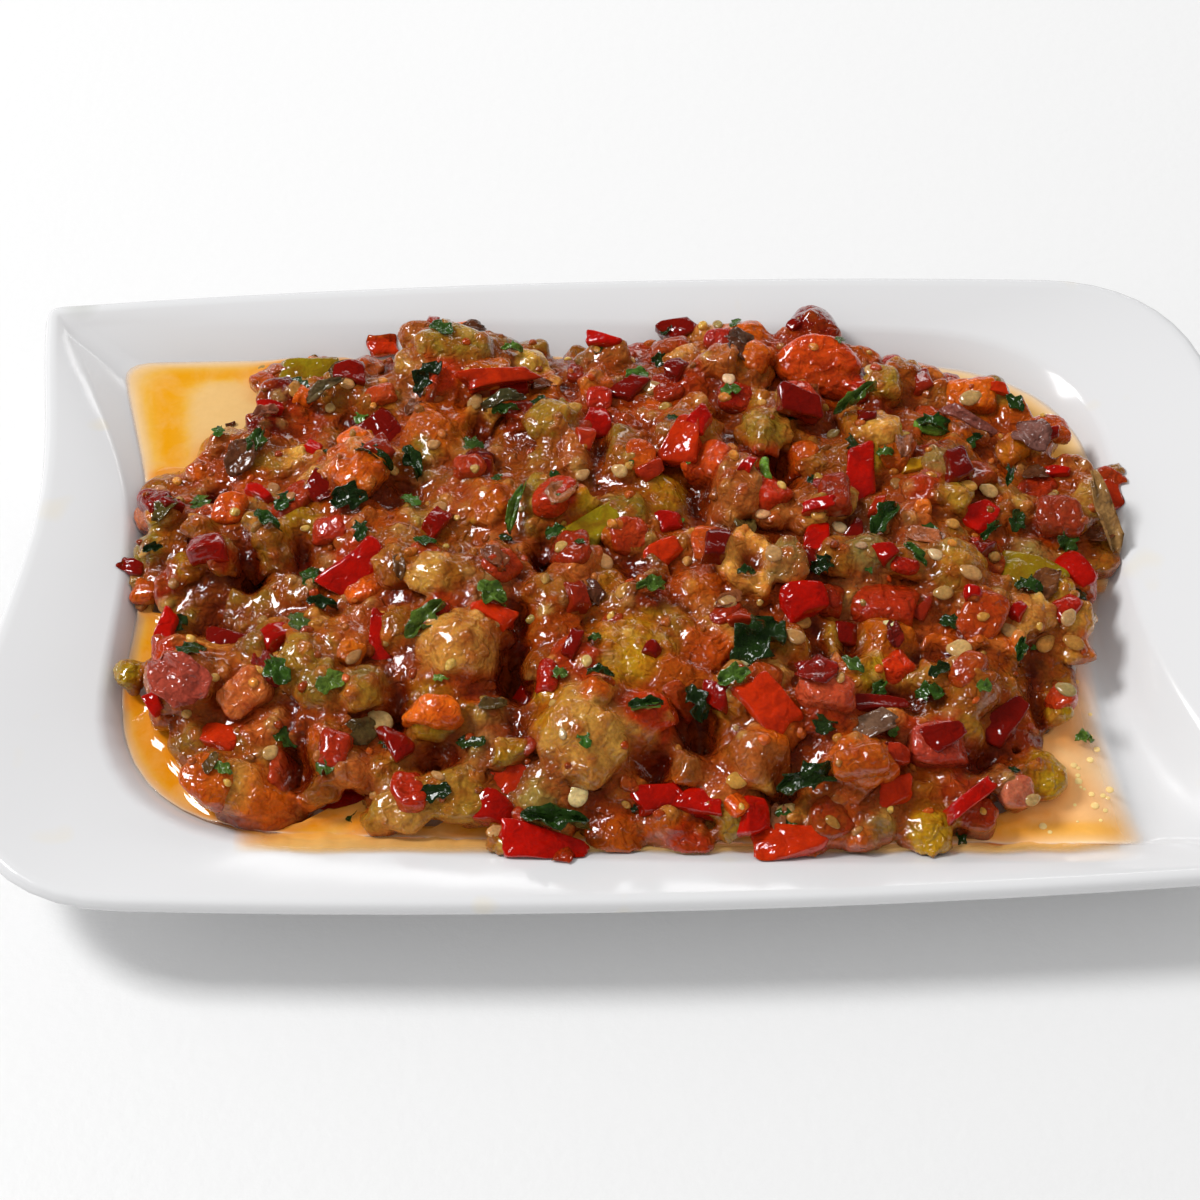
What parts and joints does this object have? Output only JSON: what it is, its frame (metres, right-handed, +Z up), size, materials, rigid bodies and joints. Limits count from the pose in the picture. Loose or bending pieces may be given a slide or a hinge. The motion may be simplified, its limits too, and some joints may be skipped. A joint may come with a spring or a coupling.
{
  "type": "eggplant salad in a serving dish",
  "caption": "Chopped roasted eggplant salad with tomato, peppers and parsley, heaped in orange oil in a white wavy rectangular dish.",
  "frame": {"origin": "on the table under the middle of the dish", "axes": "+X along the dish's long side, +Y towards its back, +Z up"},
  "size_m": [0.226, 0.1466, 0.033],
  "materials": {
    "porcelain": "glazed white",
    "oil": "clear orange oil",
    "salad": "wet and oily"
  },
  "bodies": {
    "root": {"dish": "porcelain", "oil": "oil", "salad": "salad"}
  },
  "joints": []
}
